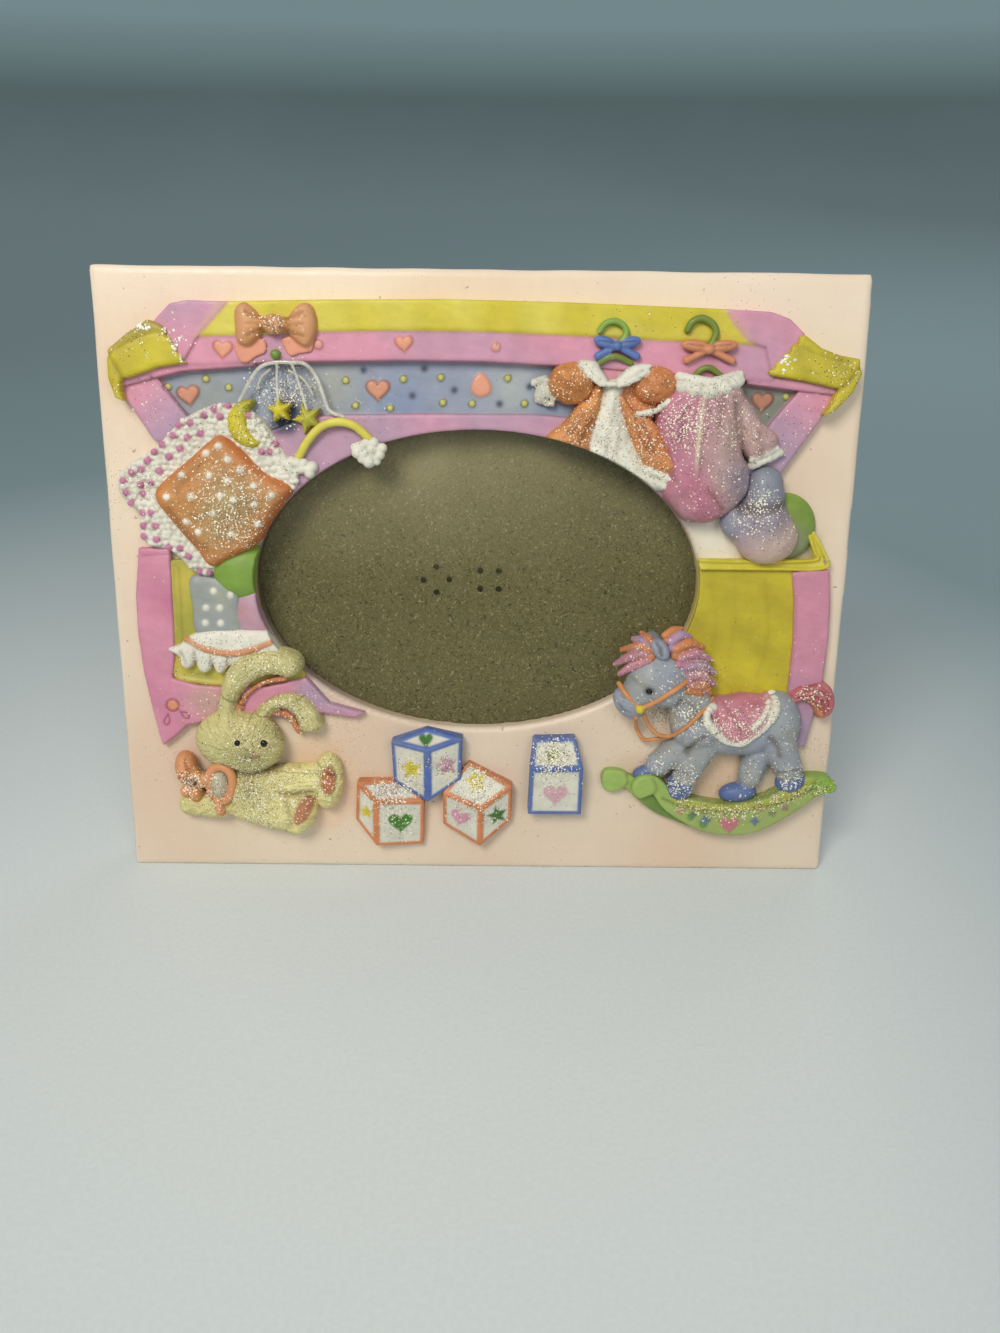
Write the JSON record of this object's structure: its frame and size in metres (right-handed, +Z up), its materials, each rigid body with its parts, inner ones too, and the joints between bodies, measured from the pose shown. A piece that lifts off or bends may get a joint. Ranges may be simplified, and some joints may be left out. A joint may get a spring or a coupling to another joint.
{
  "type": "nursery picture frame",
  "caption": "Landscape tabletop picture frame of cast resin with an oval window in a painted relief of a toy chest and toys, glass, backing board, turn buttons and a folding easel strut.",
  "frame": {"origin": "middle of the flat face at the plate's base that stands on the table", "axes": "+Z up from the table, +X to the right of a viewer in front, +Y from the viewer to the back"},
  "size_m": [0.193, 0.0509, 0.1535],
  "materials": {
    "cream_resin": "hand painted cast resin, satin, with glitter",
    "pink_resin": "hand painted cast resin, satin, with glitter",
    "yellow_resin": "hand painted cast resin, satin, with glitter",
    "orange_resin": "hand painted cast resin, satin, with glitter",
    "green_resin": "hand painted cast resin, satin, with glitter",
    "lavender_resin": "hand painted cast resin, satin, with glitter",
    "blue_resin": "hand painted cast resin, satin, with glitter",
    "white_resin": "hand painted cast resin, satin, with glitter",
    "fur_resin": "hand painted cast resin, satin, with glitter",
    "grey_resin": "hand painted cast resin, satin, with glitter",
    "glass": "clear, polished",
    "chipboard": "grey-brown, fibrous",
    "steel": "zinc plated",
    "brass": "stamped"
  },
  "bodies": {
    "frame": {"frame_plate": "cream_resin", "chest_lid": "pink_resin", "chest_side_left": "pink_resin", "chest_post_right": "pink_resin", "romper": "pink_resin", "pink_ball": "pink_resin", "lid_cap_left": "yellow_resin", "lid_cap_right": "yellow_resin", "chest_panel_left": "yellow_resin", "chest_front_right": "yellow_resin", "rainbow": "yellow_resin", "star_left": "yellow_resin", "star_right": "yellow_resin", "moon": "yellow_resin", "lid_bow": "orange_resin", "dress": "orange_resin", "pillow": "orange_resin", "bunny_bow": "orange_resin", "block_left": "orange_resin", "block_right": "orange_resin", "dress_hanger": "green_resin", "romper_hanger": "green_resin", "sock_ball": "green_resin", "green_ball": "green_resin", "near_rocker": "green_resin", "far_rocker": "green_resin", "sock": "lavender_resin", "dotted_drum": "lavender_resin", "block_top": "blue_resin", "block_single": "blue_resin", "cloud_left": "white_resin", "cloud_right": "white_resin", "mobile_strings": "white_resin", "pillow_lace": "white_resin", "doll_skirt": "white_resin", "bunny": "fur_resin", "rocking_horse": "grey_resin", "glass_pane": "glass", "backing_board": "chipboard", "fixed_hinge_leaf": "steel", "hinge_pin": "steel", "board_rivet_left": "steel", "board_rivet_right": "steel", "button_screw_top_left": "steel", "button_screw_bottom_left": "steel", "button_screw_top_right": "steel", "button_screw_bottom_right": "steel"},
    "strut": {"easel_strut": "chipboard", "strut_hinge_leaf": "steel", "strut_rivet_left": "steel", "strut_rivet_right": "steel"},
    "button_top_left": {"turn_button_top_left": "brass"},
    "button_bottom_left": {"turn_button_bottom_left": "brass"},
    "button_top_right": {"turn_button_top_right": "brass"},
    "button_bottom_right": {"turn_button_bottom_right": "brass"}
  },
  "joints": [
    {"name": "strut_fold", "type": "hinge", "parent": "frame", "child": "strut", "pos_m": [-0.00475, 0.0241, 0.06732], "axis": [1, 0, 0], "range_deg": [-28, 0]},
    {"name": "button_top_left_turn", "type": "hinge", "parent": "frame", "child": "button_top_left", "pos_m": [-0.0498, 0.03709, 0.1252], "axis": [0, 0.9703, -0.2419], "continuous": true},
    {"name": "button_bottom_left_turn", "type": "hinge", "parent": "frame", "child": "button_bottom_left", "pos_m": [-0.0498, 0.01227, 0.02565], "axis": [0, 0.9703, -0.2419], "continuous": true},
    {"name": "button_top_right_turn", "type": "hinge", "parent": "frame", "child": "button_top_right", "pos_m": [0.0488, 0.03709, 0.1252], "axis": [0, 0.9703, -0.2419], "continuous": true},
    {"name": "button_bottom_right_turn", "type": "hinge", "parent": "frame", "child": "button_bottom_right", "pos_m": [0.0488, 0.01227, 0.02565], "axis": [0, 0.9703, -0.2419], "continuous": true}
  ]
}
